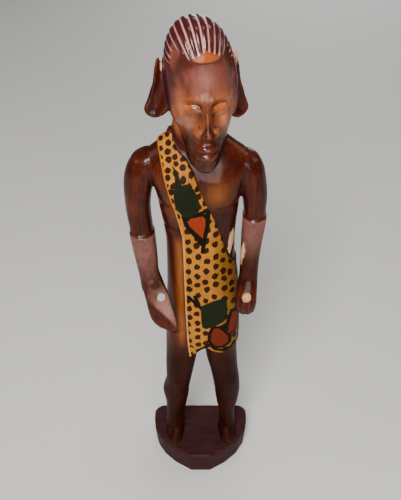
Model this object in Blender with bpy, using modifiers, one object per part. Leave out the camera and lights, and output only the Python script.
"""A carved wooden standing figure on an oval base, cut from one block.

Units are metres, +Z is up and the figure faces -Y. The origin is the middle of the base's underside.
The figure's pose and proportions are shares of its own height: they are written in steps, of which the
height holds 239, measured up from the top of the base. The base has its own named sizes.
"""
import math

import bmesh
import bpy
import numpy as np

# Driving dimensions, in metres
FIGURE_HEIGHT = 0.2390      # top of the base to the top of the hair
BASE_WIDTH = 0.0520         # left to right
BASE_BACK = 0.0172          # origin to the straight back edge
BASE_FRONT = 0.0166         # origin to the blunt front edge
BASE_NOSE = 0.0110          # length of the blunt front edge
BASE_THICKNESS = 0.0160
BASE_FOOT_SHARE = 0.95      # the underside is this share of the top, so the side leans in
BASE_EDGE = 0.0009          # knife-cut chamfer round the top and the bottom
HAND_HOLE = 0.0036          # diameter drilled in each fist
HAND_HOLE_SLANT = math.radians(50.0)   # the drill comes from the front and above
BLIND_HOLE_DEPTH = 0.0030   # the hole in the figure's left fist doesn't go through

STEPS_HIGH = 239.0
STEP = FIGURE_HEIGHT / STEPS_HIGH
FUSE_VOXEL = 0.75 * STEP
TRIANGLES = 9400


def read_keys(keys, at):
    """Read rows of keys at many heights: cubic pieces whose slopes never overshoot the keys."""
    keys = np.asarray(keys, float)
    where, rows = keys[:, 0], keys[:, 1:]
    gap = np.diff(where)[:, None]
    slope = np.diff(rows, axis=0) / gap
    lean = np.zeros_like(rows)
    product = slope[1:] * slope[:-1]
    total = slope[1:] + slope[:-1]
    lean[1:-1] = np.where(product > 0, 2 * product / np.where(product > 0, total, 1.0), 0.0)
    lean[0], lean[-1] = slope[0], slope[-1]
    at = np.clip(at, where[0], where[-1])
    k = np.clip(np.searchsorted(where, at) - 1, 0, len(where) - 2)
    t = ((at - where[k]) / gap[k, 0])[:, None]
    wide = gap[k]
    return ((2 * t**3 - 3 * t**2 + 1) * rows[k] + (t**3 - 2 * t**2 + t) * wide * lean[k]
            + (3 * t**2 - 2 * t**3) * rows[k + 1] + (t**3 - t**2) * wide * lean[k + 1])


def read_grid(keys, at):
    """The same, for a grid of heights: one grid comes back for each column of the keys."""
    return read_keys(keys, at.ravel()).T.reshape(-1, *at.shape)


def smooth_step(low, high, value):
    """0 below low, 1 above high, and an S-shaped cubic between."""
    t = np.clip((value - low) / (high - low), 0.0, 1.0)
    return t * t * (3 - 2 * t)


def bump(value, centre, reach):
    """A soft hill: e to the minus the square of the distance from its centre, counted in reaches."""
    return np.exp(-((value - centre) / reach) ** 2)


def dome(square):
    """A round cap over an ellipse: the square root of one minus the squared distance from its middle."""
    return np.sqrt(np.clip(1 - square, 0, 1))


def stack_of_rings(keys, rings, around, low_round, high_round):
    """Level superellipses, one above the other. At a turn t a ring lies at width times cos t to the power
    2/squareness and depth times sin t to the same power, with one depth in front and another behind, and
    the rings close over low_round and high_round like the ends of an egg."""
    bottom, top = keys[0][0], keys[-1][0]
    even = np.linspace(0.0, 1.0, rings + 2)
    share = 0.55 * (0.5 - 0.5 * np.cos(even * math.pi)) + 0.45 * even
    height = bottom + (top - bottom) * share[1:-1]
    x, y, wide, front, back, square = read_keys(keys, height).T
    low = np.clip((height - bottom) / low_round, 0, 1)
    high = np.clip((top - height) / high_round, 0, 1)
    shrink = dome((1 - low) ** 2) * dome((1 - high) ** 2)
    turn = np.linspace(0, 2 * math.pi, around, endpoint=False)
    power = (2.0 / square)[:, None]
    across = np.sign(np.cos(turn)) * np.abs(np.cos(turn))[None, :] ** power
    along = np.sign(np.sin(turn)) * np.abs(np.sin(turn))[None, :] ** power
    depth = np.where(along < 0, front[:, None], back[:, None])
    return np.stack([x[:, None] + across * (wide * shrink)[:, None],
                     y[:, None] + along * depth * shrink[:, None],
                     np.repeat(height[:, None], around, axis=1)], axis=2)


def outward(points):
    """Outward directions of a grid of rings: the cross product of the step round it and the step up it."""
    normal = np.cross(np.roll(points, -1, axis=1) - np.roll(points, 1, axis=1), np.gradient(points, axis=0))
    return normal / np.maximum(np.linalg.norm(normal, axis=2, keepdims=True), 1e-9)


def turned(points, angle, centre):
    """The points turned about an upright axis through the centre."""
    x, y = points[..., 0] - centre[0], points[..., 1] - centre[1]
    return np.stack([centre[0] + x * math.cos(angle) - y * math.sin(angle),
                     centre[1] + x * math.sin(angle) + y * math.cos(angle), points[..., 2]], axis=-1)


# The body: torso, legs and feet, each a stack of rings.
# A key is height, x, y, half width, front, back, squareness, all in steps of the height.

TORSO = [
    (78, 0.2, 0.0, 14.6, 7.4, 9.2, 2.3),
    (84, 0.3, 0.0, 16.1, 9.0, 10.2, 2.3),
    (92, 0.4, 0.0, 16.4, 9.4, 10.8, 2.4),
    (111, 0.4, 0.0, 15.6, 9.2, 9.8, 2.4),
    (129, 0.1, 0.0, 14.7, 8.9, 8.6, 2.4),
    (142, 0.0, 0.0, 14.5, 8.5, 7.8, 2.3),
    (151, -0.3, 0.0, 15.0, 8.9, 7.8, 2.3),
    (160, -0.6, 0.0, 16.0, 9.9, 8.6, 2.3),
    (169, -0.8, 0.0, 17.2, 10.9, 9.6, 2.3),
    (177, -1.2, 0.2, 19.5, 10.9, 10.0, 2.3),
    (183, -1.1, 0.4, 20.8, 9.4, 9.2, 2.2),
    (187, -1.3, 0.6, 18.8, 7.6, 7.8, 2.1),
    (190, -1.4, 0.7, 15.2, 6.2, 6.8, 2.0),
    (193, -1.2, 0.8, 11.6, 5.8, 6.6, 2.0),
    (198, -0.9, 1.0, 9.8, 6.4, 7.0, 2.0),
    (206, -0.5, 1.2, 9.4, 6.6, 7.4, 2.0)]
LEG_LEFT = [
    (-1, -13.9, 1.0, 4.4, 4.4, 4.6, 2.1),
    (8, -13.8, 1.0, 4.6, 4.4, 4.6, 2.1),
    (19, -13.3, 1.2, 4.9, 4.6, 5.2, 2.1),
    (28, -12.7, 1.4, 5.7, 5.2, 6.8, 2.1),
    (37, -12.7, 1.2, 6.8, 5.8, 7.6, 2.1),
    (47, -11.2, 0.6, 6.4, 6.6, 6.4, 2.2),
    (57, -10.3, 0.4, 7.0, 7.2, 7.2, 2.2),
    (68, -9.3, 0.2, 7.6, 8.2, 8.6, 2.2),
    (82, -8.6, 0.0, 7.9, 9.1, 10.0, 2.3),
    (96, -8.2, 0.0, 7.8, 9.3, 10.4, 2.3)]
LEG_RIGHT = [
    (-1, 14.7, 1.0, 3.8, 4.2, 4.4, 2.1),
    (8, 14.6, 1.0, 3.9, 4.2, 4.4, 2.1),
    (19, 14.1, 1.2, 4.3, 4.4, 5.0, 2.1),
    (28, 14.0, 1.4, 5.6, 5.0, 6.6, 2.1),
    (37, 13.9, 1.2, 6.5, 5.6, 7.4, 2.1),
    (47, 13.1, 0.6, 6.8, 6.4, 6.2, 2.2),
    (57, 11.7, 0.4, 7.0, 6.8, 6.8, 2.2),
    (68, 10.3, 0.2, 7.6, 8.0, 8.4, 2.2),
    (82, 9.4, 0.0, 7.8, 8.9, 9.8, 2.3),
    (96, 8.6, 0.0, 7.8, 9.1, 10.2, 2.3)]


def torso(rings, around):
    points = stack_of_rings(TORSO, rings, around, 6.0, 3.0)
    x, y, z = np.moveaxis(points, 2, 0)
    front = smooth_step(0.0, -4.0, y)
    back = smooth_step(0.0, 4.0, y)
    swell = 0.9 * front * (bump(x, -8.5, 5.5) + bump(x, 7.0, 5.5)) * bump(z, 172, 7)      # chest
    swell -= 0.7 * front * bump(x, -0.8, 2.6) * bump(z, 172, 8)                            # breastbone
    swell -= 0.5 * front * bump(z, 164, 2.2)                                               # under chest
    swell += 0.5 * front * bump(x, -0.4, 7) * bump(z, 138, 9)                              # belly
    swell -= 0.9 * back * bump(x, -0.4, 2.0) * smooth_step(112, 124, z) * smooth_step(186, 176, z)
    swell += 0.8 * back * (bump(x, -9, 5) + bump(x, 8, 5)) * bump(z, 174, 8)               # blades
    swell += 1.0 * back * (bump(x, -7.5, 5) + bump(x, 8.5, 5)) * bump(z, 98, 10)           # seat
    swell -= 0.6 * bump(z, 152.5, 0.8) * smooth_step(-7.0, -9.0, x)                        # waist crease
    return points + outward(points) * swell[..., None]


def leg(keys, rings, around):
    points = stack_of_rings(keys, rings, around, 1.0, 6.0)
    x, y, z = np.moveaxis(points, 2, 0)
    middle = read_grid([(key[0], key[1]) for key in keys], z)[0]
    front = smooth_step(0.0, -4.0, y)
    swell = 0.5 * front * bump(x - middle, 0.0, 3.0) * bump(z, 49, 4.6)                    # kneecap
    swell += 0.4 * front * bump(x - middle, 0.0, 1.6) * bump(z, 28, 10)                    # shin
    swell += 0.5 * (bump(np.abs(x - middle), 4.0, 1.4)) * bump(z, 9.5, 1.8)                # ankle bones
    return points + outward(points) * swell[..., None]


# A foot, measured from its ankle: a plain wedge, with its toes parted by shallow cuts
FOOT = [
    (-1.5, 0.0, 0.0, 4.6, 10.9, 6.2, 2.7),
    (1.2, 0.0, 0.0, 4.7, 10.5, 6.2, 2.7),
    (2.8, 0.0, 0.0, 4.5, 8.9, 6.0, 2.6),
    (4.8, 0.0, 0.0, 4.2, 6.6, 5.6, 2.4),
    (8.4, 0.0, 0.0, 3.9, 4.6, 5.0, 2.2)]
FOOT_TURN_OUT = math.radians(7.0)
FEET = {"left": (-13.9, -FOOT_TURN_OUT), "right": (14.7, FOOT_TURN_OUT)}


def foot(centre_x, turn_out, rings, around):
    points = stack_of_rings(FOOT, rings, around, 0.6, 3.0)
    x, y, z = np.moveaxis(points, 2, 0)
    cuts = sum(bump(x, toe, 0.32) for toe in (-2.6, -0.9, 0.8, 2.4))
    toes = cuts * smooth_step(-5.0, -8.0, y)
    points = points - outward(points) * (0.6 * toes)[..., None]
    little_toe = smooth_step(-2.0, 4.6, x * math.copysign(1.0, centre_x))
    points[..., 1] *= np.where(y < 0, 1 - 0.30 * little_toe, 1.0)
    return turned(points + np.array([centre_x, 1.0, 0.0]), turn_out, (centre_x, 1.0))


# Arms, with the sleeve-like edge at which each forearm starts
ARM_LEFT = [
    (119, -20.9, -9.4, 4.3, 4.0, 4.0, 2.2),
    (127, -22.0, -6.6, 4.3, 4.4, 4.4, 2.2),
    (136, -23.1, -3.2, 4.5, 4.8, 5.0, 2.2),
    (143, -24.0, -0.9, 4.7, 5.2, 5.6, 2.3),
    (150, -24.8, 0.6, 5.0, 5.4, 5.6, 2.3),
    (160, -25.4, 0.8, 5.2, 5.8, 5.8, 2.2),
    (170, -24.8, 0.8, 5.8, 6.6, 6.4, 2.2),
    (177, -23.5, 0.8, 6.1, 6.9, 6.6, 2.1),
    (183, -21.2, 0.8, 5.6, 6.0, 6.0, 2.0),
    (187.4, -18.8, 0.8, 3.4, 4.0, 4.0, 2.0)]
ARM_RIGHT = [
    (115, 20.3, -9.8, 4.0, 4.2, 4.2, 2.2),
    (124, 20.5, -7.4, 4.0, 4.4, 4.4, 2.2),
    (134, 20.9, -4.2, 4.1, 4.8, 4.8, 2.2),
    (144, 21.5, -1.2, 4.2, 5.2, 5.4, 2.3),
    (154, 22.2, 0.5, 4.5, 5.4, 5.6, 2.3),
    (163, 21.9, 0.8, 5.0, 5.8, 5.8, 2.2),
    (172, 20.4, 0.8, 5.8, 6.6, 6.4, 2.2),
    (178, 19.2, 0.8, 5.9, 6.8, 6.4, 2.1),
    (183.4, 17.4, 0.8, 5.2, 5.8, 5.6, 2.0),
    (187, 15.8, 0.8, 3.0, 3.8, 3.8, 2.0)]
ELBOW_LEFT, ELBOW_RIGHT = 147.0, 155.5
ELBOW_EDGE = 0.55
ELBOW_LEDGE = 0.55                      # how much more the edge stands out at the front

# Hands: the figure's right fist, on the left in front view, ends in flat fingers that point down and
# inwards, and its left fist is round below
HAND_LEFT = [
    (98.2, -12.0, -12.8, 1.8, 1.5, 1.9, 2.4),
    (101.0, -13.9, -12.9, 3.7, 2.4, 2.7, 2.5),
    (104.0, -15.4, -12.8, 4.9, 3.3, 3.6, 2.5),
    (108.0, -16.8, -12.5, 5.4, 4.1, 4.3, 2.5),
    (113.0, -17.9, -11.7, 5.3, 4.7, 4.7, 2.4),
    (118.0, -19.0, -10.4, 5.2, 4.8, 4.7, 2.3),
    (123.0, -20.5, -8.4, 4.8, 4.6, 4.5, 2.3),
    (128.0, -21.9, -6.3, 4.4, 4.4, 4.4, 2.2),
    (134.0, -22.7, -4.0, 3.9, 4.1, 4.1, 2.2)]
HAND_RIGHT = [
    (109.2, 19.6, -11.4, 3.4, 3.2, 3.6, 2.2),
    (112.4, 19.6, -11.6, 4.4, 4.4, 4.6, 2.3),
    (116.5, 19.7, -11.3, 4.8, 5.0, 5.0, 2.4),
    (120.8, 19.9, -10.0, 4.6, 4.8, 4.8, 2.4),
    (126.0, 20.5, -7.0, 4.15, 4.5, 4.5, 2.2),
    (133.0, 20.8, -4.6, 3.5, 4.1, 4.1, 2.2)]

# The middles of the mouths of the two drilled holes
HOLE_LEFT_HAND = (-17.3, -14.2, 121.6)
HOLE_RIGHT_HAND = (19.5, -14.9, 121.6)

# The palm of the figure's right hand is one flat cut, from the hole down to the fingertips
PALM_CUT_MIDDLE = (-16.4, -13.2, 114.1)
PALM_CUT_FACING = (0.36, -0.885, 0.295)
PALM_CUT_TOP = 124.5


def palm_cut(points):
    """The flat cut: whatever stands in front of its plane is laid back into it, fading out above its top."""
    facing = np.array(PALM_CUT_FACING)
    proud = np.maximum((points - np.array(PALM_CUT_MIDDLE)) @ facing, 0.0)
    proud = proud * smooth_step(PALM_CUT_TOP + 3.0, PALM_CUT_TOP - 3.0, points[..., 2])
    return points - proud[..., None] * facing


def arm(keys, elbow, rings, around):
    points = stack_of_rings(keys, rings, around, 3.0, 4.0)
    z = points[..., 2]
    out = outward(points)
    edge = (ELBOW_EDGE - ELBOW_LEDGE * np.minimum(out[..., 1], 0)) * smooth_step(elbow - 22, elbow - 6, z)
    points = points + out * (edge * smooth_step(elbow + 0.35, elbow - 0.35, z))[..., None]
    return palm_cut(points) if keys is ARM_LEFT else points


def hand(keys, rings, around):
    points = stack_of_rings(keys, rings, around, 2.5, 3.0)
    x, y, z = np.moveaxis(points, 2, 0)
    low = keys[0][0]
    middle = read_grid([(key[0], key[1]) for key in keys], z)[0]
    cuts = sum(bump(x - middle, place, 0.4) for place in (-2.5, 0.0, 2.5))
    front = smooth_step(keys[2][2], keys[2][2] - 2.0, y)
    fade = smooth_step(low + 13.0, low + 9.0, z)
    points = points - outward(points) * (0.45 * cuts * front * fade)[..., None]
    return palm_cut(points) if keys is HAND_LEFT else points


# The cloth: height, left edge and right edge over the torso. It runs the same way down the back.
CLOTH_THICKNESS = 0.9
CLOTH_EDGES = [
    (70, -5.0, 40.0), (86, -6.0, 40.0), (103, -6.6, 40.0), (127, -7.0, 32.0), (134, -7.1, 13.6),
    (141, -7.2, 10.6), (149, -7.4, 8.6), (153, -8.0, 7.4), (163, -10.0, 4.4), (168, -11.2, 2.4),
    (175, -12.9, -0.4), (181, -14.2, -2.4), (187, -15.4, -5.6), (190, -16.2, -8.8), (197, -17.0, -11.4)]

# The skirt below the hips hangs round the figure's left thigh
SKIRT = [
    (79, 6.0, 0.0, 12.2, 10.4, 11.0, 2.9),
    (88, 5.9, 0.0, 12.3, 10.4, 11.6, 2.8),
    (104, 5.5, 0.0, 12.2, 10.3, 11.2, 2.7),
    (124, 4.6, 0.0, 11.8, 9.6, 9.6, 2.5),
    (136, 3.4, 0.0, 10.6, 8.4, 8.2, 2.4)]
HEM = 79.0


def hem_drop(x, y):
    """How far the hem hangs below its mean level: in front a point at one edge, a notch beside it and a
    shallow curve, and all the way round a rise at the far side."""
    front = smooth_step(-3.0, -8.0, y)
    return (front * (9.4 * bump(x, -6.8, 4.4) - 2.2 * bump(x, 2.4, 2.8) + 0.9 * bump(x, 9.5, 3.0))
            - 3.0 * smooth_step(12.0, 18.5, x))


def cloth_edge(x, z):
    """How far inside the cloth's two edges a point lies, sideways."""
    left, right = read_grid(CLOTH_EDGES, z)
    return np.minimum(x - left, right - x)


def cloth(rings, around):
    points = torso(rings, around)
    x, y, z = np.moveaxis(points, 2, 0)
    inside = smooth_step(-0.3, 0.3, cloth_edge(x, z)) * smooth_step(0.0, 3.0, z - HEM + hem_drop(x, y))
    return points + outward(points) * (inside * 2 * CLOTH_THICKNESS - CLOTH_THICKNESS)[..., None]


def skirt(rings, around):
    points = stack_of_rings(SKIRT, rings, around, 1.2, 3.0)
    low = smooth_step(97.0, HEM, points[..., 2])
    points[..., 2] -= low * hem_drop(points[..., 0], points[..., 1])
    return points


# The head, upright and facing forward before it is turned on the neck
HEAD_TURN = math.radians(10.0)
HEAD_AXIS = (0.5, 0.6)
HEAD = [
    (183.4, 0.0, -9.2, 3.4, 4.4, 5.0, 2.0),
    (187, 0.0, -7.4, 4.9, 6.4, 7.0, 2.1),
    (192, 0.3, -4.8, 6.7, 8.8, 8.6, 2.1),
    (198, 0.6, -1.8, 8.9, 11.4, 9.6, 2.1),
    (204, 0.6, 0.2, 10.9, 13.0, 10.8, 2.1),
    (210, 0.4, 0.8, 11.8, 13.6, 12.0, 2.1),
    (216, 0.1, 0.8, 11.9, 13.6, 12.4, 2.1),
    (222, -0.4, 0.8, 11.5, 13.2, 12.6, 2.1),
    (228, -1.0, 0.8, 10.4, 12.4, 11.4, 2.1),
    (233, -1.5, 0.7, 8.4, 10.0, 8.4, 2.0),
    (236.6, -1.8, 0.4, 5.6, 6.8, 5.0, 2.0),
    (238.0, -1.9, 0.2, 3.4, 4.4, 2.8, 2.0)]
NOSE = [(199.2, 0.0, 3.0), (200.4, 2.2, 3.3), (202.4, 4.2, 3.3), (205.4, 3.6, 2.9), (210.5, 2.2, 2.4),
        (214.0, 1.2, 2.6), (218.0, 0.0, 3.4)]
EYE = (4.8, 210.2, 2.6, 1.45)           # out from the middle, height, half length, half height


def nose_relief(side, z):
    high, wide = read_grid(NOSE, z)
    relief = high * np.clip(1 - (side / wide) ** 3, 0, 1)
    relief += 1.2 * dome(((side - 2.6) / 1.3) ** 2 + ((z - 201.4) / 1.4) ** 2)             # wings
    relief -= 0.9 * bump(side, 1.3, 0.5) * bump(z, 200.0, 0.6)                             # nostrils
    return relief


def eye_opening(side, z):
    """Above 0 inside an almond: 1 less the square of the way across and less the way up."""
    out, height, long, tall = EYE
    across, up = (side - out) / long, (z - height - 0.12 * (side - out)) / tall
    return 1 - across**2 - np.abs(up), up


def eye_relief(side, z):
    """A deep socket, a ball in it under two lids, the opening sunk between them, and a crease above."""
    out, height, _, _ = EYE
    opening, up = eye_opening(side, z)
    relief = -2.3 * bump(side, out - 0.3, 3.4) * bump(z, height + 0.5, 3.1)
    relief += 2.0 * bump(side, out, 2.7) * bump(z, height - 0.1, 2.0)
    relief -= 0.50 * smooth_step(-0.10, 0.12, opening)
    relief += 0.30 * bump(opening, -0.22, 0.16) * smooth_step(-0.3, 0.3, up)               # upper rim
    relief += 0.10 * bump(opening, -0.22, 0.16) * smooth_step(0.2, -0.4, up)               # lower rim
    crease = z - height - 2.7 + 0.10 * (side - out) ** 2
    return relief - 0.30 * bump(crease, 0.0, 0.4) * smooth_step(3.4, 2.4, np.abs(side - out))


def mouth_relief(x, z):
    side = np.abs(x)
    wide = dome((side / 4.6) ** 2)
    bow = 0.35 * bump(side, 1.2, 0.8) - 0.25 * bump(x, 0, 0.5)
    upper = dome(((z - 195.6 - 0.5 * bow) / (1.35 + 0.4 * bow)) ** 2)
    lower = dome(((z - 192.4) / 1.75) ** 2)
    relief = 1.25 * wide * (upper + 1.15 * lower) + 0.8 * bump(x, 0.0, 4.6) * bump(z, 194.2, 4.4)
    relief -= 0.85 * wide**0.5 * bump(z - 0.03 * side**2, 194.2, 0.38)
    relief -= 0.35 * bump(side, 4.8, 0.8) * bump(z, 194.5, 0.9)                            # corners
    relief -= 0.20 * bump(x, 0.0, 0.6) * bump(z, 198.0, 0.8)                               # philtrum
    return relief


def face_relief(x, z):
    side = np.abs(x)
    relief = nose_relief(side, z) + eye_relief(side, z) + mouth_relief(x, z)
    brow = 215.2 - 0.05 * (side - 4.4) ** 2
    relief += 0.95 * bump(z, brow, 1.2) * smooth_step(0.8, 2.2, side) * smooth_step(9.8, 7.6, side)
    relief += 0.9 * bump(side, 7.2, 2.2) * bump(z, 204.4, 3.0)                             # cheekbones
    relief -= 0.5 * bump(side, 6.0, 1.8) * bump(z, 197.5, 3.0)                             # hollow cheeks
    relief -= 0.25 * bump(z - 200.6 + 1.1 * (side - 3.4), 0, 0.6) * bump(side, 4.2, 1.1)   # nose to mouth
    relief -= 0.35 * bump(side, 8.6, 2.0) * bump(z, 219, 4.0)                              # temples
    relief += 0.7 * bump(x, 0.0, 3.2) * bump(z, 187.6, 2.4)                                # chin
    return relief


# The hair: a cap with a stepped edge, combed back in strips that fan out from one line in the head
HAIR_STEP = 1.1
HAIR_GROOVE = 0.60
HAIR_STRIPS = 14
FAN_HEIGHT = 217.0
FAN_OPEN = math.radians(100.0)


def hairline(x, y, z):
    """How far a point lies inside the hair: above the forehead's edge, or behind the temples."""
    above = z - (228.2 + 0.035 * x**2 * smooth_step(0, 7, np.abs(x)))
    behind = np.minimum((y + 5.2) - 0.10 * np.abs(z - 217), z - 204.0)
    return np.maximum(above, behind)


def groove(x, y, z):
    """Distance to the nearest groove, and how far combed the hair is there, from 0 to 1."""
    fan = np.arctan2(x, z - FAN_HEIGHT) / FAN_OPEN * HAIR_STRIPS
    from_line = np.abs(fan - np.floor(fan) - 0.5)
    reach = np.maximum(np.hypot(x, z - FAN_HEIGHT), 5.0) * FAN_OPEN / HAIR_STRIPS
    combed = smooth_step(231.6, 232.8, z + 0.50 * np.abs(x) + 0.6 * np.maximum(y + 6, 0))
    combed = combed * smooth_step(0.56, 0.51, np.abs(fan) / HAIR_STRIPS) * smooth_step(13.5, 11.0, y)
    return from_line * reach, combed


def head(rings, around):
    points = stack_of_rings(HEAD, rings, around, 3.4, 1.0)
    out = outward(points)
    x, y, z = np.moveaxis(points, 2, 0)
    facing = smooth_step(-3.0, -7.0, y)
    points = points + np.array([0.0, -1.0, 0.0]) * (face_relief(x, z) * facing)[..., None]
    inside = smooth_step(-0.35, 0.35, hairline(x, y, z))
    distance, combed = groove(x, y, z)
    strand = HAIR_GROOVE * bump(distance, 0.0, 0.34) - 0.10 * np.minimum(distance, 1.2)
    rise = HAIR_STEP * inside - strand * combed * inside
    return turned(points + out * rise[..., None], HEAD_TURN, HEAD_AXIS)


# The ears: paddles that are pointed above, hollow in front, and droop into long lobes
EAR = [
    (200.6, 17.0, 0.5, 1.8, 1.3, 1.3, 2.0),
    (202.2, 16.7, 0.5, 3.4, 1.9, 1.6, 2.1),
    (205.2, 15.7, 0.6, 4.9, 2.1, 1.7, 2.2),
    (210, 14.0, 0.8, 4.8, 1.7, 1.5, 2.2),
    (215, 13.2, 1.0, 4.0, 1.5, 1.4, 2.2),
    (220, 13.6, 1.2, 2.9, 1.3, 1.2, 2.1),
    (224.4, 14.6, 1.4, 1.1, 0.8, 0.8, 2.0)]
EARS = {"left": (-1, math.radians(19.0), 1.0, 0.5, 0.0), "right": (1, math.radians(20.0), 1.16, -2.2, -3.2)}
EAR_ROOT = (10.8, 0.8)


def ear(side, sweep, stretch, outwards, upwards, rings, around):
    """One ear, swept back by an angle, stretched, and moved outwards and upwards, as each was cut by eye."""
    points = stack_of_rings(EAR, rings, around, 2.2, 1.6)
    x, y, z = np.moveaxis(points, 2, 0)
    front = smooth_step(0.9, 0.0, y)
    centre, wide = read_grid([(key[0], key[1], key[3]) for key in EAR], z)
    place = (x - centre) / np.maximum(wide, 0.5)
    shape = 1.5 * bump(place, 0.05, 0.42) - 0.9 * bump(place, 0.80, 0.18) - 0.3 * bump(place, -0.62, 0.16)
    points[..., 1] += front * shape * smooth_step(202.0, 204.5, z)
    points = turned(points, sweep, EAR_ROOT)
    points[..., 2] = EAR[0][0] + (points[..., 2] - EAR[0][0]) * stretch
    points = points + np.array([outwards, 0.0, upwards])
    if side < 0:
        points = (points * np.array([-1.0, 1.0, 1.0]))[:, ::-1]
    return turned(points, HEAD_TURN, (0.0, 0.0)) + np.array([HEAD_AXIS[0], HEAD_AXIS[1], 0.0])


# The base: straight back, round ends, and knife-flat front edges that meet in a blunt front

def base_outline():
    """Half an outline, from the back's right end to the blunt front, and its mirror image."""
    half, nose, corner = BASE_WIDTH / 2, BASE_NOSE / 2, 0.30 * BASE_BACK
    turn = np.linspace(0.0, math.pi / 2, 9)
    arc = np.stack([half - 1.1 * corner * (1 - np.sin(turn)), BASE_BACK - corner * (1 - np.cos(turn))]).T
    side = [(half, 0.46 * BASE_BACK), (0.965 * half, 0.06 * BASE_BACK), (0.80 * half, -0.34 * BASE_FRONT),
            (0.55 * half, -0.69 * BASE_FRONT), (nose, -BASE_FRONT)]
    right = np.concatenate([arc, np.array(side)])
    return np.concatenate([right, right[::-1] * [-1, 1]])[::-1]


def base_rings():
    """The outline at four heights, scaled, and drawn in by the chamfer at its top and bottom."""
    outline = base_outline()
    reach = np.linalg.norm(outline, axis=1, keepdims=True)
    levels = [(0.0, BASE_FOOT_SHARE, BASE_EDGE), (BASE_EDGE, BASE_FOOT_SHARE, 0.0),
              (BASE_THICKNESS - BASE_EDGE, 1.0, 0.0), (BASE_THICKNESS, 1.0, BASE_EDGE)]
    rings = [np.column_stack([outline * share * (1 - inset / reach), np.full(len(outline), height)])
             for height, share, inset in levels]
    return np.stack(rings) / STEP - np.array([0.0, 0.0, BASE_THICKNESS / STEP])


def ring_mesh(name, points):
    """Quads between neighbouring rings, and a fan from the middle of each end."""
    rings, around, _ = points.shape
    ends = np.stack([points[0].mean(axis=0), points[-1].mean(axis=0)])
    verts = np.concatenate([points.reshape(-1, 3), ends]) * STEP
    verts[:, 2] += BASE_THICKNESS
    here = np.arange(around)
    after = (here + 1) % around
    row = (np.arange(rings - 1) * around)[:, None]
    quads = np.stack([row + here, row + after, row + around + after, row + around + here], axis=2)
    last = (rings - 1) * around
    floor = np.stack([np.full(around, rings * around), after, here], axis=1)
    roof = np.stack([np.full(around, rings * around + 1), last + here, last + after], axis=1)
    mesh = bpy.data.meshes.new(name)
    mesh.from_pydata(verts.tolist(), [], quads.reshape(-1, 4).tolist() + floor.tolist() + roof.tolist())
    mesh.update()
    return mesh


def place(name, mesh, collection):
    made = bpy.data.objects.new(name, mesh)
    collection.objects.link(made)
    return made


def evaluated_mesh(thing):
    graph = bpy.context.evaluated_depsgraph_get()
    return bpy.data.meshes.new_from_object(thing.evaluated_get(graph))


def fused(forms, collection):
    """One closed skin round all the forms: a voxel remesh of them joined."""
    whole = bmesh.new()
    for mesh in forms:
        whole.from_mesh(mesh)
    joined = bpy.data.meshes.new("joined")
    whole.to_mesh(joined)
    whole.free()
    block = place("carved_figure", joined, collection)
    remesh = block.modifiers.new("fuse", "REMESH")
    remesh.mode = "VOXEL"
    remesh.voxel_size = FUSE_VOXEL
    remesh.adaptivity = 0.0
    skin = evaluated_mesh(block)
    block.modifiers.clear()
    block.data = skin
    return block


def keep_outer_skin(block):
    """Only the largest connected skin stays, so that no pocket is left sealed inside the wood."""
    skin = bmesh.new()
    skin.from_mesh(block.data)
    unseen = set(skin.verts)
    islands = []
    while unseen:
        island, edge_of_walk = set(), [next(iter(unseen))]
        while edge_of_walk:
            vert = edge_of_walk.pop()
            if vert in unseen:
                unseen.discard(vert)
                island.add(vert)
                edge_of_walk += [edge.other_vert(vert) for edge in vert.link_edges]
        islands.append(island)
    islands.sort(key=len)
    pockets = [vert for island in islands[:-1] for vert in island]
    bmesh.ops.delete(skin, geom=pockets, context="VERTS")
    skin.to_mesh(block.data)
    skin.free()


def flatten_underside(block):
    """The base's underside is one true plane, whatever the fusing did to it."""
    co = np.empty(len(block.data.vertices) * 3)
    block.data.vertices.foreach_get("co", co)
    co = co.reshape(-1, 3)
    co[co[:, 2] < 0.6 * FUSE_VOXEL, 2] = 0.0
    block.data.vertices.foreach_set("co", co.ravel())
    block.data.update()


def thin_out(block):
    """Fewer triangles, where the form is flattest."""
    block.data.calc_loop_triangles()
    thin = block.modifiers.new("thin", "DECIMATE")
    thin.ratio = TRIANGLES / len(block.data.loop_triangles)
    skin = evaluated_mesh(block)
    block.modifiers.clear()
    block.data = skin


def drill(name, mouth, depth, collection):
    """A cutter for a hole drilled from the front and above, this deep below the middle of its mouth."""
    above = 8 * STEP
    bpy.ops.mesh.primitive_cylinder_add(vertices=20, radius=HAND_HOLE / 2, depth=depth + above)
    cutter = bpy.context.object
    cutter.name = name
    along = (0.0, -math.cos(HAND_HOLE_SLANT), math.sin(HAND_HOLE_SLANT))
    middle = (above - depth) / 2
    cutter.location = [mouth[k] * STEP + along[k] * middle for k in range(3)]
    cutter.location.z += BASE_THICKNESS
    cutter.rotation_euler = (math.pi / 2 - HAND_HOLE_SLANT, 0.0, 0.0)
    for home in list(cutter.users_collection):
        home.objects.unlink(cutter)
    collection.objects.link(cutter)
    cutter.hide_render = True
    cutter.display_type = "WIRE"
    return cutter


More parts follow.
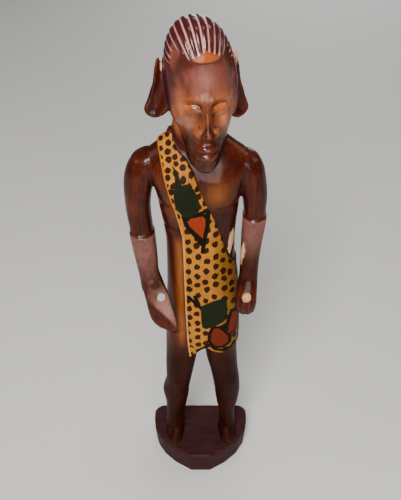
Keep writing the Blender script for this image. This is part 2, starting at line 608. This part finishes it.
def cut_away(block, cutter):
    cut = block.modifiers.new(cutter.name, "BOOLEAN")
    cut.operation = "DIFFERENCE"
    cut.object = cutter
    skin = evaluated_mesh(block)
    block.modifiers.clear()
    block.data = skin


def wood():
    material = bpy.data.materials.new("dark_red_wood")
    material.use_nodes = True
    shader = material.node_tree.nodes["Principled BSDF"]
    shader.inputs["Base Color"].default_value = (0.10, 0.022, 0.012, 1.0)
    shader.inputs["Roughness"].default_value = 0.35
    shader.inputs["Metallic"].default_value = 0.0
    return material


def main():
    for thing in list(bpy.data.objects):
        bpy.data.objects.remove(thing, do_unlink=True)
    figure = bpy.data.collections.new("carved_statue")
    cutters = bpy.data.collections.new("cutters")
    bpy.context.scene.collection.children.link(figure)
    bpy.context.scene.collection.children.link(cutters)

    forms = [
        ring_mesh("base", base_rings()),
        ring_mesh("torso", torso(150, 120)),
        ring_mesh("cloth", cloth(180, 160)),
        ring_mesh("skirt", skirt(60, 96)),
        ring_mesh("leg_left", leg(LEG_LEFT, 60, 48)),
        ring_mesh("leg_right", leg(LEG_RIGHT, 60, 48)),
        ring_mesh("foot_left", foot(*FEET["left"], 24, 96)),
        ring_mesh("foot_right", foot(*FEET["right"], 24, 96)),
        ring_mesh("arm_left", arm(ARM_LEFT, ELBOW_LEFT, 120, 48)),
        ring_mesh("arm_right", arm(ARM_RIGHT, ELBOW_RIGHT, 120, 48)),
        ring_mesh("hand_left", hand(HAND_LEFT, 50, 72)),
        ring_mesh("hand_right", hand(HAND_RIGHT, 50, 72)),
        ring_mesh("head", head(180, 240)),
        ring_mesh("ear_left", ear(*EARS["left"], 60, 64)),
        ring_mesh("ear_right", ear(*EARS["right"], 60, 64))]
    block = fused(forms, figure)
    keep_outer_skin(block)
    flatten_underside(block)
    cut_away(block, drill("drill_left", HOLE_LEFT_HAND, 20 * STEP, cutters))
    cut_away(block, drill("drill_right", HOLE_RIGHT_HAND, BLIND_HOLE_DEPTH, cutters))
    thin_out(block)
    block.data.materials.clear()
    block.data.materials.append(wood())


main()
